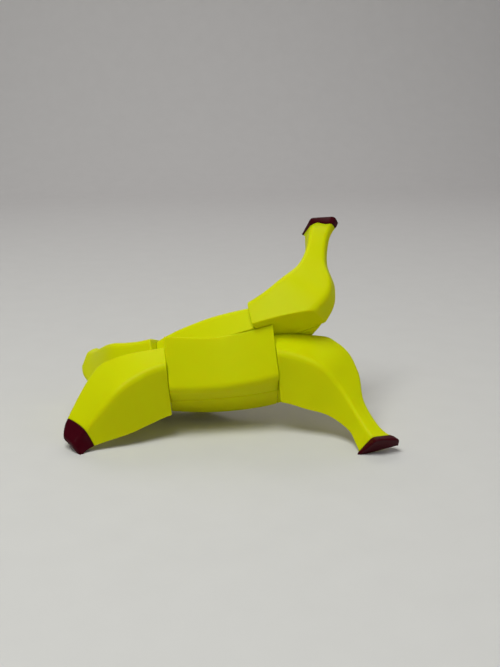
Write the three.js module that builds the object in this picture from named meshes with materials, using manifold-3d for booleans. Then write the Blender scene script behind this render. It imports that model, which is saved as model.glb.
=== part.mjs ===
// A banana-shaped 2 x 2 x 3 twist puzzle, scrambled and stopped part way through a half turn.
//
// The twelve yellow pieces are one bent banana, cut by two planes across its length (the tip,
// middle and stem layers) and by two planes along it. Each piece is made where it lies in the
// solved banana and then placed, by turns only, where the scramble has taken it.
//
// Solved frame, in millimetres: X along the banana from tip to stem, Y across it, Z towards its
// hollow side, with the puzzle's centre at the origin. "Inner" pieces have Z > 0 and carry the
// tip and the stem; "outer" pieces have Z < 0; "left" is Y > 0 and "right" is Y < 0.

import * as THREE from 'three';
import { mergeVertices } from 'three/addons/utils/BufferGeometryUtils.js';
import Module from 'manifold-3d';

const wasm = await Module();
wasm.setup();

// ---------------------------------------------------------------- driving dimensions

// The bent body as a row of slanted cross-sections, tip first. inner and outer are the section's
// ends [x, z] on the hollow and on the bulging side; width is its half width at the side ridges;
// ridge is the height of those ridges as a share of the way from outer to inner; keel is the half
// width of the flat outer side as a share of width. crown is how far the middle of the outer side
// bulges past its edges, on the two pieces that carry the stem.
const STATIONS = [
  { inner: [-65.3, 41.1], outer: [-72.6, 30.6], width: 3.3, ridge: 0.59, keel: 0.5 },
  { inner: [-59.2, 36.8], outer: [-70.2, 21.8], width: 6.6, ridge: 0.69, keel: 0.47 },
  { inner: [-43.6, 32.6], outer: [-57.7, 2], width: 17.9, ridge: 0.68, keel: 0.49 },
  { inner: [-34.3, 28.9], outer: [-44.8, -7.1], width: 20.4, ridge: 0.67, keel: 0.64 },
  { inner: [-23.9, 25.2], outer: [-29.8, -14.1], width: 21.3, ridge: 0.69, keel: 0.59 },
  { inner: [0, 20.8], outer: [0, -16.9], width: 21.2, ridge: 0.71, keel: 0.74 },
  { inner: [23, 25], outer: [30, -12.7], width: 19.7, ridge: 0.66, keel: 0.81, crown: 3.6 },
  { inner: [34.8, 30.6], outer: [54.7, 2.8], width: 17.6, ridge: 0.62, keel: 0.61, crown: 1 },
  { inner: [44, 35.5], outer: [61.2, 16], width: 11.9, ridge: 0.66, keel: 0.52, crown: 0.2 },
  { inner: [51.1, 44.1], outer: [60.7, 31.8], width: 8.2, ridge: 0.64, keel: 0.53 },
  { inner: [52.8, 51.4], outer: [64.2, 45.3], width: 7.2, ridge: 0.58, keel: 0.54 },
  { inner: [53.3, 55.7], outer: [68.3, 51.7], width: 7.3, ridge: 0.56, keel: 0.55 },
  { inner: [51.9, 57.6], outer: [71.5, 55.1], width: 9.5, ridge: 0.56, keel: 0.55 },
];
const TIP_SEAM_STATION = 1; // the dark tip cap starts here
const STEM_SEAM_STATION = 11; // the dark stem cap starts here

const CUT_X = 24.4; // the two cuts across the banana, each side of the centre
const GAP = 0.3; // clearance between neighbouring pieces

const RINGS_PER_SPAN = 4; // loft sections between two stations
const CORNER_STEPS = 2; // straight steps round each section corner
const ROUNDING_BASE = 0.3; // the rounding of a section's corners starts this far from the corner,
const ROUNDING_SHARE = 0.09; // plus this share of the half width,
const CORNER_LIMIT = 0.42; // and at most this share of the shorter side it rounds off
const CREST = 0; // the section's corner on the hollow side, which the lengthwise cut runs through

const CORE_RADIUS = 9;
const PIVOT_RADIUS = 2; // the core's shaft, along the half turn's axis
const PIVOT_REACH = 15;

// Each end piece hooks behind the middle layer with a T-shaped foot in a ring-shaped track.
const TRACK_RADIUS = 9.6; // middle of the track, about the long axis
const NECK_HALF_WIDTH = 1.2;
const HEAD_HALF_WIDTH = 2.7;
const NECK_DEPTH = 3.2; // from the cut down to the head
const HEAD_DEPTH = 2.8;
const FOOT_ROOT = 2; // how far the foot is sunk into its own piece
const FOOT_HALF_ANGLE = THREE.MathUtils.degToRad(28);
const ARC_SEGMENTS = 6;
const RING_SEGMENTS = 32;

const ROLL = THREE.MathUtils.degToRad(45); // the puzzle lies with its cut planes at 45 degrees
const QUARTER = Math.PI / 2;
const TWIST = THREE.MathUtils.degToRad(-24.3); // the upper half's turn, short of lining up
const FLAT_DEPTH = 0.6; // trimmed off the three points the puzzle stands on
const LEVELLING_PASSES = 8;

const REACH = 200; // half the size of the blocks that stand in for endless cutting planes

// ---------------------------------------------------------------- materials

const yellow = () => new THREE.MeshStandardMaterial({ color: 0xd6de0c, roughness: 0.38, metalness: 0 });
const maroon = () => new THREE.MeshStandardMaterial({ color: 0x4a0d18, roughness: 0.32, metalness: 0 });
const graphite = () => new THREE.MeshStandardMaterial({ color: 0x26272a, roughness: 0.5, metalness: 0 });

// ---------------------------------------------------------------- solids

function solidOf(geometry) {
  geometry.deleteAttribute('normal');
  geometry.deleteAttribute('uv');
  const merged = mergeVertices(geometry);
  const vertProperties = new Float32Array(merged.attributes.position.array);
  const triVerts = new Uint32Array(merged.index.array);
  return new wasm.Manifold(new wasm.Mesh({ numProp: 3, vertProperties, triVerts }));
}

function geometryOf(solid) {
  const mesh = solid.getMesh();
  const geometry = new THREE.BufferGeometry();
  geometry.setAttribute('position', new THREE.BufferAttribute(mesh.vertProperties, 3));
  geometry.setIndex(new THREE.BufferAttribute(mesh.triVerts, 1));
  geometry.computeVertexNormals();
  return geometry;
}

function blockBetween(low, high) {
  const size = high.clone().sub(low);
  const block = new THREE.BoxGeometry(size.x, size.y, size.z);
  block.translate(...low.clone().add(high).multiplyScalar(0.5));
  return solidOf(block);
}

// ---------------------------------------------------------------- the banana's body

const railThrough = (pick) => new THREE.CatmullRomCurve3(STATIONS.map(pick), false, 'catmullrom', 0.5);
const innerRail = railThrough((s) => new THREE.Vector3(s.inner[0], 0, s.inner[1]));
const outerRail = railThrough((s) => new THREE.Vector3(s.outer[0], 0, s.outer[1]));
const shapeRail = railThrough((s) => new THREE.Vector3(s.width, s.ridge, s.keel));
const crownRail = railThrough((s) => new THREE.Vector3(s.crown ?? 0, 0, 0));

// Corners of one section, as [across, up from the outer side]. The crest, first, stays sharp.
function sectionCorners({ x: width, y: ridge, z: keel }, height, crown) {
  const edge = width * keel;
  const middle = crown === null ? [] : [[0, -Math.max(crown, 0)]];
  return [[0, height], [width, ridge * height], [edge, 0], ...middle, [-edge, 0], [-width, ridge * height]];
}

function roundedCorner(before, corner, after, wanted) {
  const toBefore = before.clone().sub(corner);
  const toAfter = after.clone().sub(corner);
  const reach = Math.min(wanted, CORNER_LIMIT * Math.min(toBefore.length(), toAfter.length()));
  const start = corner.clone().addScaledVector(toBefore.normalize(), reach);
  const end = corner.clone().addScaledVector(toAfter.normalize(), reach);
  return new THREE.QuadraticBezierCurve(start, corner, end).getPoints(CORNER_STEPS);
}

function sectionAt(t, crowned) {
  const inner = innerRail.getPoint(t);
  const outer = outerRail.getPoint(t);
  const shape = shapeRail.getPoint(t);
  const crown = crowned ? crownRail.getPoint(t).x : null;
  const up = inner.clone().sub(outer).normalize();
  const corners = sectionCorners(shape, inner.distanceTo(outer), crown).map((c) => new THREE.Vector2(...c));
  const rounded = corners.flatMap((corner, i) => {
    if (i === CREST) return [corner];
    const before = corners[i - 1];
    const after = corners[(i + 1) % corners.length];
    return roundedCorner(before, corner, after, ROUNDING_BASE + ROUNDING_SHARE * shape.x);
  });
  return rounded.map((p) => new THREE.Vector3(0, p.x, 0).addScaledVector(up, p.y).add(outer));
}

function bananaSolid(crowned) {
  const spans = (STATIONS.length - 1) * RINGS_PER_SPAN;
  const rings = Array.from({ length: spans + 1 }, (_, i) => sectionAt(i / spans, crowned));
  const count = rings[0].length;
  const centreOf = (ring) => ring.reduce((sum, p) => sum.add(p), new THREE.Vector3()).divideScalar(count);
  const points = [...rings.flat(), centreOf(rings[0]), centreOf(rings[spans])];
  const tipCentre = points.length - 2;
  const stemCentre = points.length - 1;
  const triangles = [];
  for (let j = 0; j < count; j += 1) {
    const next = (j + 1) % count;
    for (let i = 0; i < spans; i += 1) {
      const here = i * count;
      const there = here + count;
      triangles.push(here + j, there + j, here + next, here + next, there + j, there + next);
    }
    triangles.push(tipCentre, j, next, stemCentre, spans * count + next, spans * count + j);
  }
  const geometry = new THREE.BufferGeometry().setFromPoints(points);
  geometry.setIndex(triangles);
  return solidOf(geometry);
}

// A block that holds everything past a station's section, on the side that outward points to.
function blockPast(station, outward) {
  const inner = new THREE.Vector3(station.inner[0], 0, station.inner[1]);
  const outer = new THREE.Vector3(station.outer[0], 0, station.outer[1]);
  const up = inner.clone().sub(outer).normalize();
  const across = new THREE.Vector3(0, 1, 0);
  const along = new THREE.Vector3().crossVectors(across, up).multiplyScalar(outward);
  const turn = new THREE.Matrix4().makeBasis(along, across.multiplyScalar(outward), up);
  const block = new THREE.BoxGeometry(REACH, REACH, REACH);
  block.translate(REACH / 2, 0, 0);
  block.applyMatrix4(turn);
  block.translate(...inner.add(outer).multiplyScalar(0.5));
  return solidOf(block);
}

// ---------------------------------------------------------------- core, tracks and feet

// A closed washer about the X axis, from radius to radius and from x to x.
function washerSolid(innerRadius, outerRadius, fromX, toX) {
  const profile = [[innerRadius, fromX], [outerRadius, fromX], [outerRadius, toX], [innerRadius, toX]];
  const loop = [...profile, profile[0]].map(([r, x]) => new THREE.Vector2(r, x));
  const washer = new THREE.LatheGeometry(loop, RING_SEGMENTS);
  washer.rotateZ(-QUARTER);
  return solidOf(washer);
}

// The T-shaped track that both ends of the middle layer have, at the cut on side +1 or -1.
function trackSolid(side) {
  const between = (halfWidth, top, bottom) => {
    const [low, high] = [side * top, side * bottom].sort((a, b) => a - b);
    return washerSolid(TRACK_RADIUS - halfWidth - GAP, TRACK_RADIUS + halfWidth + GAP, low, high);
  };
  const slot = between(NECK_HALF_WIDTH, CUT_X + 1, CUT_X - NECK_DEPTH);
  const chamber = between(HEAD_HALF_WIDTH, CUT_X - NECK_DEPTH + GAP, CUT_X - NECK_DEPTH - HEAD_DEPTH - GAP);
  return slot.add(chamber);
}

// Part of a ring about X, round the middle of one quadrant, from x to x.
function sectorSolid(halfWidth, middleAngle, fromX, toX) {
  const [start, end] = [middleAngle - FOOT_HALF_ANGLE, middleAngle + FOOT_HALF_ANGLE];
  const outline = new THREE.Shape();
  outline.absarc(0, 0, TRACK_RADIUS + halfWidth, start, end, false);
  outline.absarc(0, 0, TRACK_RADIUS - halfWidth, end, start, true);
  outline.closePath();
  const options = { depth: toX - fromX, bevelEnabled: false, curveSegments: ARC_SEGMENTS };
  const sector = new THREE.ExtrudeGeometry(outline, options);
  // the outline's x and y become the solved frame's Y and Z, and its depth becomes X
  const turn = new THREE.Matrix4().makeBasis(
    new THREE.Vector3(0, 1, 0), new THREE.Vector3(0, 0, 1), new THREE.Vector3(1, 0, 0));
  sector.applyMatrix4(turn);
  sector.translate(fromX, 0, 0);
  return solidOf(sector);
}

function footSolid(side, middleAngle) {
  const between = (halfWidth, top, bottom) => {
    const [low, high] = [side * top, side * bottom].sort((a, b) => a - b);
    return sectorSolid(halfWidth, middleAngle, low, high);
  };
  const neck = between(NECK_HALF_WIDTH, CUT_X + FOOT_ROOT, CUT_X - NECK_DEPTH - HEAD_DEPTH / 2);
  const head = between(HEAD_HALF_WIDTH, CUT_X - NECK_DEPTH, CUT_X - NECK_DEPTH - HEAD_DEPTH);
  return neck.add(head);
}

// The ball that the middle layer turns on, with a shaft both ways along the half turn's axis.
// It is made in the rolled frame, where that axis is at 45 degrees between back and up.
function coreSolid(clearance) {
  const ball = new THREE.SphereGeometry(CORE_RADIUS + clearance, 20, 14);
  const shaft = new THREE.CylinderGeometry(
    PIVOT_RADIUS + clearance, PIVOT_RADIUS + clearance, 2 * (PIVOT_REACH + clearance), 16);
  shaft.rotateX(ROLL);
  return solidOf(ball).add(solidOf(shaft));
}

// ---------------------------------------------------------------- pieces

const LAYERS = {
  tip: { from: -REACH, to: -CUT_X, side: -1 },
  middle: { from: -CUT_X, to: CUT_X, side: 0 },
  stem: { from: CUT_X, to: REACH, side: 1 },
};

// One quadrant of a layer: the banana between the layer's cuts, on one side of each long cut.
function quadrantBlock({ from, to }, ySign, zSign) {
  const inset = GAP / 2;
  const spanOf = (sign) => (sign > 0 ? [inset, REACH] : [-REACH, -inset]);
  const [lowY, highY] = spanOf(ySign);
  const [lowZ, highZ] = spanOf(zSign);
  return blockBetween(
    new THREE.Vector3(from + inset, lowY, lowZ), new THREE.Vector3(to - inset, highY, highZ));
}

// How the scramble has moved a piece: quarter turns about the long axis, and swapped end for end.
function seatRotation({ quarterTurns = 0, swapped = false }) {
  return new THREE.Euler(ROLL + quarterTurns * QUARTER, swapped ? Math.PI : 0, 0);
}

const banana = bananaSolid(false);
const crownedBanana = bananaSolid(true);
const tracks = trackSolid(-1).add(trackSolid(1));
const coreRoom = coreSolid(GAP);
const tipEnd = blockPast(STATIONS[TIP_SEAM_STATION], -1);
const stemEnd = blockPast(STATIONS[STEM_SEAM_STATION], 1);

function quadrantSolid(layer, ySign, zSign, seat) {
  const whole = layer === LAYERS.stem && zSign > 0 ? crownedBanana : banana;
  const quadrant = whole.intersect(quadrantBlock(layer, ySign, zSign));
  if (layer.side !== 0) return quadrant.add(footSolid(layer.side, Math.atan2(zSign, ySign)));
  // the core's room is carried back from the piece's seat into the solved frame
  const back = new THREE.Matrix4().makeRotationFromEuler(seatRotation(seat)).invert();
  return quadrant.subtract(tracks).subtract(coreRoom.transform(back.elements));
}

function meshOf(name, solid, material, seat = null) {
  const mesh = new THREE.Mesh(geometryOf(solid), material);
  mesh.name = name;
  if (seat) mesh.rotation.copy(seatRotation(seat));
  return mesh;
}

const lowerHalf = new THREE.Group();
const upperHalf = new THREE.Group();
const HALF_TURN_AXIS = new THREE.Vector3(0, Math.cos(ROLL), Math.sin(ROLL));
upperHalf.quaternion.setFromAxisAngle(HALF_TURN_AXIS, TWIST);

const LEFT = 1;
const RIGHT = -1;
const INNER = 1;
const OUTER = -1;

// Every piece of the banana, with the half it is in now and where the scramble has put it.
const PIECES = [
  { name: 'tip_inner_left', layer: 'tip', y: LEFT, z: INNER, half: lowerHalf, seat: { quarterTurns: 1 } },
  { name: 'tip_inner_right', layer: 'tip', y: RIGHT, z: INNER, half: upperHalf, seat: { quarterTurns: -1 } },
  { name: 'tip_outer_left', layer: 'tip', y: LEFT, z: OUTER, half: upperHalf, seat: {} },
  { name: 'tip_outer_right', layer: 'tip', y: RIGHT, z: OUTER, half: lowerHalf, seat: {} },
  { name: 'middle_inner_left', layer: 'middle', y: LEFT, z: INNER, half: upperHalf, seat: { swapped: true } },
  { name: 'middle_inner_right', layer: 'middle', y: RIGHT, z: INNER, half: lowerHalf, seat: {} },
  { name: 'middle_outer_left', layer: 'middle', y: LEFT, z: OUTER, half: upperHalf, seat: { swapped: true } },
  { name: 'middle_outer_right', layer: 'middle', y: RIGHT, z: OUTER, half: lowerHalf, seat: {} },
  { name: 'stem_inner_left', layer: 'stem', y: LEFT, z: INNER, half: lowerHalf, seat: { quarterTurns: 1 } },
  { name: 'stem_inner_right', layer: 'stem', y: RIGHT, z: INNER, half: upperHalf, seat: { quarterTurns: -1 } },
  { name: 'stem_outer_left', layer: 'stem', y: LEFT, z: OUTER, half: upperHalf, seat: {} },
  { name: 'stem_outer_right', layer: 'stem', y: RIGHT, z: OUTER, half: lowerHalf, seat: {} },
];

// The dark caps: what lies past a seam of the piece that carries it, kept a gap clear of it.
const CAPS = {
  tip_inner_left: { name: 'tip_cap_left', end: tipEnd, outward: new THREE.Vector3(-1, 0, 1) },
  stem_inner_left: { name: 'stem_cap_left', end: stemEnd, outward: new THREE.Vector3(0, 0, 1) },
  stem_inner_right: { name: 'stem_cap_right', end: stemEnd, outward: new THREE.Vector3(0, 0, 1) },
};

function buildPiece({ name, layer, y, z, half, seat }) {
  const solid = quadrantSolid(LAYERS[layer], y, z, seat);
  const cap = CAPS[name];
  if (!cap) {
    half.add(meshOf(name, solid, yellow(), seat));
    return;
  }
  const clear = cap.outward.clone().setLength(GAP);
  half.add(meshOf(name, solid.subtract(cap.end), yellow(), seat));
  half.add(meshOf(cap.name, solid.intersect(cap.end.translate(clear.toArray())), maroon(), seat));
}

PIECES.forEach(buildPiece);
lowerHalf.add(meshOf('core', coreSolid(0), graphite()));

// ---------------------------------------------------------------- standing on its three feet

const toy = new THREE.Group();
toy.add(lowerHalf, upperHalf);
const FEET = ['tip_cap_left', 'stem_cap_left', 'middle_inner_left'];

function lowestPoint(mesh) {
  const place = mesh.geometry.attributes.position;
  const point = new THREE.Vector3();
  const lowest = new THREE.Vector3(0, 0, Infinity);
  for (let i = 0; i < place.count; i += 1) {
    point.fromBufferAttribute(place, i).applyMatrix4(mesh.matrixWorld);
    if (point.z < lowest.z) lowest.copy(point);
  }
  return lowest;
}

// Turns the puzzle until the lowest points of its three feet lie in one level plane.
function level() {
  const up = new THREE.Vector3(0, 0, 1);
  for (let pass = 0; pass < LEVELLING_PASSES; pass += 1) {
    toy.updateMatrixWorld(true);
    const [a, b, c] = FEET.map((name) => lowestPoint(toy.getObjectByName(name)));
    const normal = b.sub(a).cross(c.sub(a)).normalize();
    if (normal.z < 0) normal.negate();
    toy.quaternion.premultiply(new THREE.Quaternion().setFromUnitVectors(normal, up));
  }
  toy.updateMatrixWorld(true);
}

// Centres the box over the origin and sinks the feet by the depth of their flats.
function settle() {
  const box = new THREE.Box3().setFromObject(toy, true);
  const centre = box.getCenter(new THREE.Vector3());
  toy.position.set(-centre.x, -centre.y, -box.min.z - FLAT_DEPTH);
  toy.updateMatrixWorld(true);
}

function trimFlat(mesh) {
  const ground = new THREE.BoxGeometry(2 * REACH, 2 * REACH, REACH);
  ground.translate(0, 0, -REACH / 2);
  ground.applyMatrix4(mesh.matrixWorld.clone().invert());
  mesh.geometry = geometryOf(solidOf(mesh.geometry).subtract(solidOf(ground)));
}

level();
settle();
FEET.forEach((name) => trimFlat(toy.getObjectByName(name)));

export default toy;
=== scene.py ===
"""Looks of the banana-shaped twist puzzle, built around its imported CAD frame."""
import math

import bmesh
import bpy
import numpy as np
from mathutils import Matrix, Quaternion, Vector


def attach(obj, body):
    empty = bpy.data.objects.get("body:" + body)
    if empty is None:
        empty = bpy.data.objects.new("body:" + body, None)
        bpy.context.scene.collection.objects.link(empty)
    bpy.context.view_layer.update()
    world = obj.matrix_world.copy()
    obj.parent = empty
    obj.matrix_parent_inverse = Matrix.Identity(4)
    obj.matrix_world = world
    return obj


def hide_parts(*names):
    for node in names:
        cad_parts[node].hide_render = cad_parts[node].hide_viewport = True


MM = 0.001

# ------------------------------------------------------------------ the part's dimensions, in mm

# The solved banana's sections, tip first: inner [x, z], outer [x, z], half width at the side
# ridges, height of the ridges as a share, half width of the flat outer side as a share, and how
# far the middle of the outer side bulges on the pieces that carry the stem.
STATIONS = [
    ((-65.3, 41.1), (-72.6, 30.6), 3.3, 0.59, 0.5, 0),
    ((-59.2, 36.8), (-70.2, 21.8), 6.6, 0.69, 0.47, 0),
    ((-43.6, 32.6), (-57.7, 2), 17.9, 0.68, 0.49, 0),
    ((-34.3, 28.9), (-44.8, -7.1), 20.4, 0.67, 0.64, 0),
    ((-23.9, 25.2), (-29.8, -14.1), 21.3, 0.69, 0.59, 0),
    ((0, 20.8), (0, -16.9), 21.2, 0.71, 0.74, 0),
    ((23, 25), (30, -12.7), 19.7, 0.66, 0.81, 3.6),
    ((34.8, 30.6), (54.7, 2.8), 17.6, 0.62, 0.61, 1),
    ((44, 35.5), (61.2, 16), 11.9, 0.66, 0.52, 0.2),
    ((51.1, 44.1), (60.7, 31.8), 8.2, 0.64, 0.53, 0),
    ((52.8, 51.4), (64.2, 45.3), 7.2, 0.58, 0.54, 0),
    ((53.3, 55.7), (68.3, 51.7), 7.3, 0.56, 0.55, 0),
    ((51.9, 57.6), (71.5, 55.1), 9.5, 0.56, 0.55, 0),
]
TIP_SEAM_STATION = 1
STEM_SEAM_STATION = 11
CUT_X = 24.4
GAP = 0.1
ROUNDING_BASE = 1.1  # a section's corners are rounded from this far away,
ROUNDING_SHARE = 0.09  # plus this share of the half width,
CORNER_LIMIT = 0.42  # and at most this share of the shorter side beside the corner
CORNER_STEPS = 5
SIDE_STEPS = 6  # how many times each nearly flat side of a section is divided
RING_SPACING = 1.9
RUN_SAMPLES = 1200  # for measuring the length along the banana
FLARE_POWER = 3  # how early the stem's cap flares out

EDGE_ROUNDING = 0.5  # of the cut edges
EDGE_STEPS = 4
SEAM_ROUNDING = 0.2  # where a dark cap meets its yellow piece
END_ROUNDING = {"tip": 1.6, "stem": 0.9}  # round the far end
END_TRIM = 0.02
CREST_CHAMFER = (-64.95, 0, 39.2), (-0.177, 0, 0.984)  # plane on the tip piece without a cap
CHAMFER_ROUNDING = 0.3
MERGE_DISTANCE = 1e-5
ON_PLANE = 1e-4  # vertices this near a cutting plane count as on it
LEAST_SLOPE = 1e-3  # a normal that leans less than this gives no direction to round in
# How far each cap's seam is shifted past its flat section, against the height in the section.
SEAM_CURVES = {
    "tip_cap_left": ((0, 0), (0.2, -0.45), (0.45, -0.7), (0.69, -0.5), (0.85, -0.55), (1, -0.3)),
    "stem_cap_left": ((0, -0.15), (0.2, -0.2), (0.46, -0.5), (0.6, -0.8), (0.78, -0.7), (1, -0.1)),
    "stem_cap_right": ((0, 0.35), (0.16, -0.15), (0.37, 0.5), (0.56, -0.4), (0.75, 0), (1, 0.2)),
}

ROLL = math.radians(45)
TWIST = math.radians(-24.3)
TOY_ROTATION = Matrix((
    (0.996786398, 0.00745534541, -0.0797577242),
    (0.00745534541, 0.982704089, 0.185032678),
    (0.0797577242, -0.185032678, 0.979490487),
))
TOY_POSITION = Vector((-1.605402, 1.465692, 27.474193))
FLOOR_CLEARANCE = 0.02
FLAT_FACE_WEIGHT = 80  # above 50, so that large faces set the shading across a rounded edge

# Pieces: layer, side (left +1), inner +1 or outer -1, body, quarter turns, swapped end for end.
PIECES = {
    "tip_inner_left": ("tip", 1, 1, "lower_half", 1, False),
    "tip_inner_right": ("tip", -1, 1, "upper_half", -1, False),
    "tip_outer_left": ("tip", 1, -1, "upper_half", 0, False),
    "tip_outer_right": ("tip", -1, -1, "lower_half", 0, False),
    "middle_inner_left": ("middle", 1, 1, "upper_half", 0, True),
    "middle_inner_right": ("middle", -1, 1, "lower_half", 0, False),
    "middle_outer_left": ("middle", 1, -1, "upper_half", 0, True),
    "middle_outer_right": ("middle", -1, -1, "lower_half", 0, False),
    "stem_inner_left": ("stem", 1, 1, "lower_half", 1, False),
    "stem_inner_right": ("stem", -1, 1, "upper_half", -1, False),
    "stem_outer_left": ("stem", 1, -1, "upper_half", 0, False),
    "stem_outer_right": ("stem", -1, -1, "lower_half", 0, False),
}
CAPS = {
    "tip_inner_left": ("tip_cap_left", -1),
    "stem_inner_left": ("stem_cap_left", 1),
    "stem_inner_right": ("stem_cap_right", 1),
}
CAP_STATIONS = {
    "tip_cap_left": TIP_SEAM_STATION,
    "stem_cap_left": STEM_SEAM_STATION,
    "stem_cap_right": STEM_SEAM_STATION,
}


# ------------------------------------------------------------------ the banana's body

def rail(points, t):
    """Catmull-Rom curve through the points, at t from 0 to 1."""
    points = [np.array(p, float) for p in points]
    place = (len(points) - 1) * t
    i = min(int(math.floor(place)), len(points) - 2)
    w = place - i
    p1, p2 = points[i], points[i + 1]
    p0 = points[i - 1] if i > 0 else 2 * p1 - p2
    p3 = points[i + 2] if i + 2 < len(points) else 2 * p2 - p1
    m1, m2 = 0.5 * (p2 - p0), 0.5 * (p3 - p1)
    return p1 + m1 * w + (3 * (p2 - p1) - 2 * m1 - m2) * w**2 + (2 * (p1 - p2) + m1 + m2) * w**3


def rounded_outline(corners, radius):
    """Closed outline of 2-D points, each corner but the first rounded by a quadratic curve."""
    arcs = [[corners[0]]]
    for i in range(1, len(corners)):
        corner = corners[i]
        to_before = corners[i - 1] - corner
        to_after = corners[(i + 1) % len(corners)] - corner
        lengths = np.linalg.norm(to_before), np.linalg.norm(to_after)
        reach = min(radius, CORNER_LIMIT * min(lengths))
        start = corner + to_before / lengths[0] * reach
        end = corner + to_after / lengths[1] * reach
        arcs.append([(1 - s) ** 2 * start + 2 * s * (1 - s) * corner + s**2 * end
                     for s in np.linspace(0, 1, CORNER_STEPS + 1)])
    out = []
    for arc, following in zip(arcs, arcs[1:] + arcs[:1]):
        side = following[0] - arc[-1]
        out += arc
        out += [arc[-1] + side * s for s in np.linspace(0, 1, SIDE_STEPS + 1)[1:-1]]
    return out


def flared(t):
    """Where along the banana a section's size is taken: the stem's cap flares out early."""
    seam = STEM_SEAM_STATION / (len(STATIONS) - 1)
    past = max(t - seam, 0) / (1 - seam)
    return t if past == 0 else seam + (1 - seam) * (1 - (1 - past) ** FLARE_POWER)


def section(t, crowned):
    inner = rail([s[0] for s in STATIONS], t)
    outer = rail([s[1] for s in STATIONS], t)
    up = (inner - outer) / np.linalg.norm(inner - outer)
    size = flared(t)
    height = np.linalg.norm(rail([np.subtract(s[0], s[1]) for s in STATIONS], size))
    outer = (inner + outer - up * height) / 2
    width, ridge, keel, crown = rail([s[2:] for s in STATIONS], size)
    bulge = [(0, -max(crown, 0))] if crowned else []
    corners = [(0, height), (width, ridge * height), (width * keel, 0), *bulge,
               (-width * keel, 0), (-width, ridge * height)]
    corners = [np.array(c, float) for c in corners]
    ring = rounded_outline(corners, ROUNDING_BASE + ROUNDING_SHARE * width)
    return [(outer[0] + up[0] * v, u, outer[1] + up[1] * v) for u, v in ring]


def even_places():
    """Places along the banana, from 0 to 1, that lie about RING_SPACING apart."""
    fine = np.linspace(0, 1, RUN_SAMPLES)
    middles = np.array([rail([(np.add(s[0], s[1])) / 2 for s in STATIONS], t) for t in fine])
    run = np.concatenate([[0], np.cumsum(np.linalg.norm(np.diff(middles, axis=0), axis=1))])
    return np.interp(np.linspace(0, run[-1], round(run[-1] / RING_SPACING) + 1), run, fine)


def banana(crowned):
    bm = bmesh.new()
    rings = [[bm.verts.new(p) for p in section(t, crowned)] for t in even_places()]
    n = len(rings[0])
    for a, b in zip(rings, rings[1:]):
        for j in range(n):
            k = (j + 1) % n
            bm.faces.new((a[j], b[j], b[k], a[k]))
    bm.faces.new(rings[0])
    bm.faces.new(list(reversed(rings[-1])))
    bmesh.ops.recalc_face_normals(bm, faces=bm.faces)
    return bm


# ------------------------------------------------------------------ cutting a piece out

def cut(bm, point, normal, rounding=EDGE_ROUNDING):
    """Keeps the side that the normal points away from, closes it and rounds the rim."""
    point, normal = Vector(point), Vector(normal)
    bmesh.ops.remove_doubles(bm, verts=bm.verts, dist=MERGE_DISTANCE)
    for step in range(EDGE_STEPS + 1):
        depth = rounding * (1 - math.sin(math.pi / 2 * step / EDGE_STEPS))
        bmesh.ops.bisect_plane(
            bm, geom=bm.verts[:] + bm.edges[:] + bm.faces[:], dist=ON_PLANE,
            plane_co=point - normal * depth, plane_no=normal, clear_outer=step == EDGE_STEPS)
    bm.normal_update()
    moves = []
    for vert in bm.verts:
        depth = max((point - vert.co).dot(normal), 0)
        sideways = vert.normal - normal * vert.normal.dot(normal)
        if depth < rounding and sideways.length > LEAST_SLOPE:
            shift = rounding - math.sqrt(rounding**2 - (rounding - depth) ** 2)
            moves.append((vert, sideways.normalized() * shift))
    close(bm)
    for vert, move in moves:
        vert.co -= move
    bmesh.ops.recalc_face_normals(bm, faces=bm.faces)


def close(bm):
    """Fills the open outline with triangles that stay inside it, however hollow it is."""
    made = bmesh.ops.holes_fill(bm, edges=[e for e in bm.edges if e.is_boundary], sides=0)
    bmesh.ops.triangulate(bm, faces=made["faces"])


def seam_plane(index, outward):
    inner, outer = STATIONS[index][0], STATIONS[index][1]
    up = Vector((inner[0] - outer[0], 0, inner[1] - outer[1])).normalized()
    middle = Vector(((inner[0] + outer[0]) / 2, 0, (inner[1] + outer[1]) / 2))
    return middle, Vector((0, 1, 0)).cross(up) * outward


def bend_seam(bm, cap_name, point, normal, sense):
    """Shifts everything along the seam's normal, so that a flat cut made between ends up curved."""
    inner, outer = (Vector(corner) for corner in STATIONS[CAP_STATIONS[cap_name]][:2])
    up = (inner - outer) / (inner - outer).length_squared
    places, shifts = zip(*SEAM_CURVES[cap_name])
    for vert in bm.verts:
        height = (Vector((vert.co.x, vert.co.z)) - outer).dot(up)
        vert.co += normal * float(np.interp(height, places, shifts)) * sense


def quadrant(layer, side, depth):
    bm = banana(crowned=layer == "stem" and depth > 0)
    inset = GAP / 2
    if layer != "tip":
        low = CUT_X if layer == "stem" else -CUT_X
        cut(bm, (low + inset, 0, 0), (-1, 0, 0))
    if layer != "stem":
        high = -CUT_X if layer == "tip" else CUT_X
        cut(bm, (high - inset, 0, 0), (1, 0, 0))
    cut(bm, (0, side * inset, 0), (0, -side, 0))
    cut(bm, (0, 0, depth * inset), (0, 0, -depth))
    if depth > 0 and layer != "middle":
        station, outward = (0, -1) if layer == "tip" else (len(STATIONS) - 1, 1)
        point, normal = seam_plane(station, outward)
        cut(bm, point - normal * END_TRIM, normal, END_ROUNDING[layer])
        if layer == "tip" and side < 0:
            cut(bm, *CREST_CHAMFER, CHAMFER_ROUNDING)
    return bm


def seat(quarter_turns, swapped):
    end_for_end = Matrix.Rotation(math.pi if swapped else 0, 3, "Y")
    return Matrix.Rotation(ROLL + quarter_turns * math.pi / 2, 3, "X") @ end_for_end


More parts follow.
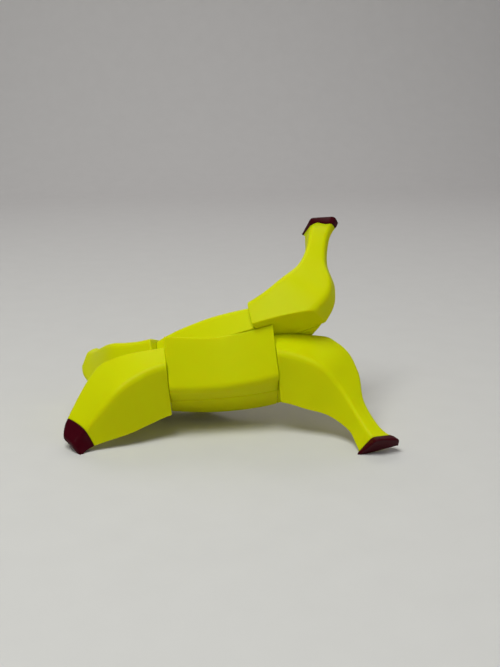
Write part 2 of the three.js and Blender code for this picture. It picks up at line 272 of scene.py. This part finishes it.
def row_matrix(body, quarter_turns, swapped):
    """Solved frame in mm to the row frame in metres."""
    turn = seat(quarter_turns, swapped)
    if body == "upper_half":
        axis = Vector((0, math.cos(ROLL), math.sin(ROLL)))
        turn = Quaternion(axis, TWIST).to_matrix() @ turn
    whole = (TOY_ROTATION @ turn).to_4x4()
    return Matrix.Scale(MM, 4) @ Matrix.Translation(TOY_POSITION) @ whole


def finish_piece(bm, name, body, matrix, material):
    bm.transform(matrix)
    floor = FLOOR_CLEARANCE * MM
    if min(v.co.z for v in bm.verts) < floor:
        bmesh.ops.bisect_plane(
            bm, geom=bm.verts[:] + bm.edges[:] + bm.faces[:], dist=ON_PLANE * MM,
            plane_co=(0, 0, floor), plane_no=(0, 0, -1), clear_outer=True)
        close(bm)
    bmesh.ops.recalc_face_normals(bm, faces=bm.faces)
    if bm.calc_volume(signed=True) < 0:
        bmesh.ops.reverse_faces(bm, faces=bm.faces)
    mesh = bpy.data.meshes.new(name)
    bm.to_mesh(mesh)
    bm.free()
    for polygon in mesh.polygons:
        polygon.use_smooth = True
    piece = bpy.data.objects.new(name, mesh)
    bpy.context.scene.collection.objects.link(piece)
    mesh.materials.append(material)
    weighted = piece.modifiers.new("normals", "WEIGHTED_NORMAL")
    weighted.keep_sharp = False
    weighted.weight = FLAT_FACE_WEIGHT
    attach(piece, body)
    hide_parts(name)
    return piece


# ------------------------------------------------------------------ materials

SCATTER_RADIUS = (1.0, 0.55, 0.05)
SCATTER_SCALE = 4 * MM
DRIFT_SCALE = 22  # slow change of tint and gloss over a piece
DRIFT_TINT = 0.96
GLOSS_RANGE = -0.05, 0.06
GRAIN_STRENGTH = 0.12
GRAIN_HEIGHT = 0.06 * MM


def plastic(name, colour, roughness, specular, subsurface, grain):
    material = bpy.data.materials.new(name)
    material.use_nodes = True
    nodes, links = material.node_tree.nodes, material.node_tree.links
    shader = nodes["Principled BSDF"]
    shader.inputs["Subsurface Weight"].default_value = subsurface
    shader.inputs["Subsurface Radius"].default_value = SCATTER_RADIUS
    shader.inputs["Subsurface Scale"].default_value = SCATTER_SCALE
    shader.inputs["Specular IOR Level"].default_value = specular
    place = nodes.new("ShaderNodeTexCoord")
    drift = nodes.new("ShaderNodeTexNoise")
    drift.inputs["Scale"].default_value = DRIFT_SCALE
    drift.inputs["Detail"].default_value = 3
    links.new(place.outputs["Object"], drift.inputs["Vector"])
    tint = nodes.new("ShaderNodeValToRGB")
    tint.color_ramp.elements[0].position = 0.3
    tint.color_ramp.elements[1].position = 0.7
    tint.color_ramp.elements[0].color = (*[c * DRIFT_TINT for c in colour], 1)
    tint.color_ramp.elements[1].color = (*colour, 1)
    links.new(drift.outputs["Fac"], tint.inputs["Fac"])
    links.new(tint.outputs["Color"], shader.inputs["Base Color"])
    spark = nodes.new("ShaderNodeTexNoise")
    spark.inputs["Scale"].default_value = grain
    spark.inputs["Detail"].default_value = 2
    links.new(place.outputs["Object"], spark.inputs["Vector"])
    sheen = nodes.new("ShaderNodeMapRange")
    sheen.inputs["To Min"].default_value = roughness + GLOSS_RANGE[0]
    sheen.inputs["To Max"].default_value = roughness + GLOSS_RANGE[1]
    links.new(drift.outputs["Fac"], sheen.inputs["Value"])
    links.new(sheen.outputs["Result"], shader.inputs["Roughness"])
    bump = nodes.new("ShaderNodeBump")
    bump.inputs["Strength"].default_value = GRAIN_STRENGTH
    bump.inputs["Distance"].default_value = GRAIN_HEIGHT
    links.new(spark.outputs["Fac"], bump.inputs["Height"])
    links.new(bump.outputs["Normal"], shader.inputs["Normal"])
    return material


# ------------------------------------------------------------------ build

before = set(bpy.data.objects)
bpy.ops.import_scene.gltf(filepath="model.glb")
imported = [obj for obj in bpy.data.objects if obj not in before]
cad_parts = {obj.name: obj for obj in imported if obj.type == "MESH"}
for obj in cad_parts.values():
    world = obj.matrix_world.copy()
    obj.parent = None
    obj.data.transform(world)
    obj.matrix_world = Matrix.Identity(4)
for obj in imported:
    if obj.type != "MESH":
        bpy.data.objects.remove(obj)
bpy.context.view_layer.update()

yellow = plastic("yellow_plastic", (0.645, 0.66, 0.0), 0.45, 0.06, 0.5, 2600)
maroon = plastic("maroon_plastic", (0.05, 0.001, 0.005), 0.3, 0.08, 0.0, 2000)
graphite = plastic("graphite_plastic", (0.02, 0.02, 0.022), 0.5, 0.5, 0.0, 2000)

for name, (layer, side, depth, body, turns, swapped) in PIECES.items():
    matrix = row_matrix(body, turns, swapped)
    solid = quadrant(layer, side, depth)
    if name in CAPS:
        cap_name, outward = CAPS[name]
        point, normal = seam_plane(CAP_STATIONS[cap_name], outward)
        bend_seam(solid, cap_name, point, normal, -1)
        cap = solid.copy()
        cut(solid, point, normal, SEAM_ROUNDING)
        cut(cap, point + normal * GAP, -normal, SEAM_ROUNDING)
        bend_seam(solid, cap_name, point, normal, 1)
        bend_seam(cap, cap_name, point, normal, 1)
        finish_piece(cap, cap_name, body, matrix, maroon)
    finish_piece(solid, name, body, matrix, yellow)

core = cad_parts["core"]
core.data.materials.clear()
core.data.materials.append(graphite)


# ------------------------------------------------------------------ stage

# The paper sheet, in metres: it lies level from its front edge and bends up into a wall.
SHEET_FRONT = -1.6
SHEET_BEND = 0.75
SHEET_BEND_RADIUS = 0.35
SHEET_TOP = 1.9
SHEET_HALF_WIDTH = 2.2


def floor():
    bm = bmesh.new()
    profile = [(SHEET_FRONT, 0), (SHEET_BEND, 0)]
    for a in np.linspace(0.1, math.pi / 2, 14):
        profile.append((SHEET_BEND + SHEET_BEND_RADIUS * math.sin(a),
                        SHEET_BEND_RADIUS * (1 - math.cos(a))))
    profile.append((SHEET_BEND + SHEET_BEND_RADIUS, SHEET_TOP))
    left = [bm.verts.new((-SHEET_HALF_WIDTH, y, z)) for y, z in profile]
    right = [bm.verts.new((SHEET_HALF_WIDTH, y, z)) for y, z in profile]
    for i in range(len(profile) - 1):
        bm.faces.new((left[i], right[i], right[i + 1], left[i + 1]))
    mesh = bpy.data.meshes.new("floor")
    bm.to_mesh(mesh)
    bm.free()
    for polygon in mesh.polygons:
        polygon.use_smooth = True
    obj = bpy.data.objects.new("floor", mesh)
    bpy.context.scene.collection.objects.link(obj)
    material = bpy.data.materials.new("floor_paper")
    material.use_nodes = True
    nodes, links = material.node_tree.nodes, material.node_tree.links
    shader = nodes["Principled BSDF"]
    shader.inputs["Roughness"].default_value = 0.85
    place = nodes.new("ShaderNodeTexCoord")
    noise = nodes.new("ShaderNodeTexNoise")
    noise.inputs["Scale"].default_value = 60
    links.new(place.outputs["Object"], noise.inputs["Vector"])
    tint = nodes.new("ShaderNodeValToRGB")
    tint.color_ramp.elements[0].color = (0.64, 0.6, 0.6, 1)
    tint.color_ramp.elements[1].color = (0.67, 0.63, 0.63, 1)
    links.new(noise.outputs["Fac"], tint.inputs["Fac"])
    links.new(tint.outputs["Color"], shader.inputs["Base Color"])
    mesh.materials.append(material)


def lamp(name, location, target, size, power, colour=(1, 1, 1)):
    light = bpy.data.lights.new(name, "AREA")
    light.shape = "RECTANGLE"
    light.size, light.size_y = size
    light.energy = power
    light.color = colour
    obj = bpy.data.objects.new(name, light)
    bpy.context.scene.collection.objects.link(obj)
    obj.location = location
    obj.rotation_euler = (Vector(target) - Vector(location)).to_track_quat("-Z", "Y").to_euler()


floor()
middle = (0, 0, 0.03)
lamp("key", (-0.25, -0.35, 1.0), middle, (0.6, 0.5), 9.3, (0.93, 1.0, 0.93))
lamp("fill", (0.9, -0.7, 0.6), middle, (0.8, 0.8), 1.0)
lamp("back", (0.1, 0.8, 0.9), middle, (0.8, 0.4), 2)

world = bpy.data.worlds.new("world")
world.use_nodes = True
world.node_tree.nodes["Background"].inputs["Color"].default_value = (0.9, 0.93, 1.0, 1)
world.node_tree.nodes["Background"].inputs["Strength"].default_value = 0.12
bpy.context.scene.world = world

# ------------------------------------------------------------------ camera

CAMERA_POSITION = Vector((-0.033323, -0.419864, 0.16347))
CAMERA_RIGHT = Vector((0.9941118, -0.1083488, -0.0014971))
CAMERA_UP = Vector((0.0312734, 0.2736532, 0.9613199))
FOCAL_PX = 958.8
LONG_SIDE_PX = 667
SENSOR = 36

camera_data = bpy.data.cameras.new("camera")
camera_data.sensor_width = SENSOR
camera_data.lens = FOCAL_PX * SENSOR / LONG_SIDE_PX
camera_data.clip_start = 0.01
camera_data.clip_end = 20
camera = bpy.data.objects.new("camera", camera_data)
bpy.context.scene.collection.objects.link(camera)
back = CAMERA_RIGHT.cross(CAMERA_UP)
camera.matrix_world = Matrix.Translation(CAMERA_POSITION) @ Matrix((
    CAMERA_RIGHT, CAMERA_UP, back)).transposed().to_4x4()
bpy.context.scene.camera = camera

bpy.context.scene.view_settings.view_transform = "Standard"
